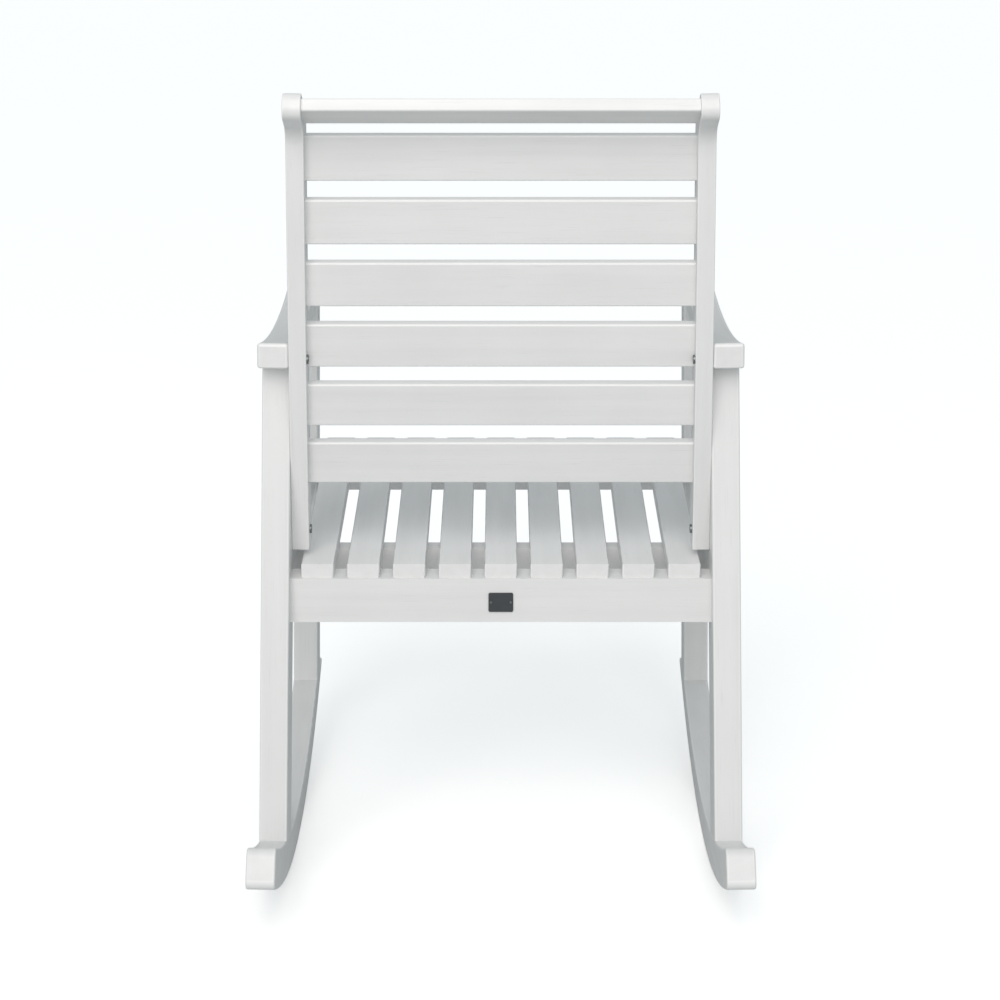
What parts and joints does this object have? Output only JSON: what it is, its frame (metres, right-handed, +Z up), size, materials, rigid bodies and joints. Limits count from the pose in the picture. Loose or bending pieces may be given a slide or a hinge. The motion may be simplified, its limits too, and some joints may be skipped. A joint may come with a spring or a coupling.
{
  "type": "rocking chair",
  "caption": "White painted wooden rocking chair with a slatted seat and back, a rolled-over crest rail, dipped arms and bowed rockers.",
  "frame": {"origin": "on the floor, under the middle of the chair's outline; the rockers touch the floor just in front of it", "axes": "+Z up; the sitter faces -Y and sits with their left hand at +X; X = 0 is the plane of symmetry"},
  "size_m": [0.592, 0.7701, 0.9894],
  "materials": {
    "painted_wood": "satin white paint on hardwood boards",
    "bare_beech": "bare fluted beech",
    "zinc_steel": "zinc-plated steel",
    "plate": "dark grey satin coated metal"
  },
  "bodies": {
    "root": {"arm_dowels": "bare_beech", "arm_left": "painted_wood", "arm_pocket_screws": "zinc_steel", "arm_right": "painted_wood", "back_post_bolts": "zinc_steel", "back_post_inserts": "zinc_steel", "back_post_left": "painted_wood", "back_post_right": "painted_wood", "back_slat_1": "painted_wood", "back_slat_2": "painted_wood", "back_slat_3": "painted_wood", "back_slat_4": "painted_wood", "back_slat_5": "painted_wood", "back_slat_6": "painted_wood", "cleat_screws": "zinc_steel", "crest_rail": "painted_wood", "cross_rail": "painted_wood", "front_leg_left": "painted_wood", "front_leg_right": "painted_wood", "front_rail": "painted_wood", "nameplate": "plate", "nameplate_pins": "zinc_steel", "rail_barrel_nuts": "zinc_steel", "rail_bolts": "zinc_steel", "rail_dowels": "bare_beech", "rear_cleat": "painted_wood", "rear_leg_left": "painted_wood", "rear_leg_right": "painted_wood", "rear_rail": "painted_wood", "rocker_dowels": "bare_beech", "rocker_left": "painted_wood", "rocker_right": "painted_wood", "seat_front_dowels": "bare_beech", "seat_slat_1": "painted_wood", "seat_slat_2": "painted_wood", "seat_slat_3": "painted_wood", "seat_slat_4": "painted_wood", "seat_slat_5": "painted_wood", "seat_slat_6": "painted_wood", "seat_slat_7": "painted_wood", "seat_slat_8": "painted_wood", "seat_slat_9": "painted_wood", "seat_slat_screws": "zinc_steel", "side_rail_dowels": "bare_beech", "side_rail_left": "painted_wood", "side_rail_right": "painted_wood"}
  },
  "joints": []
}
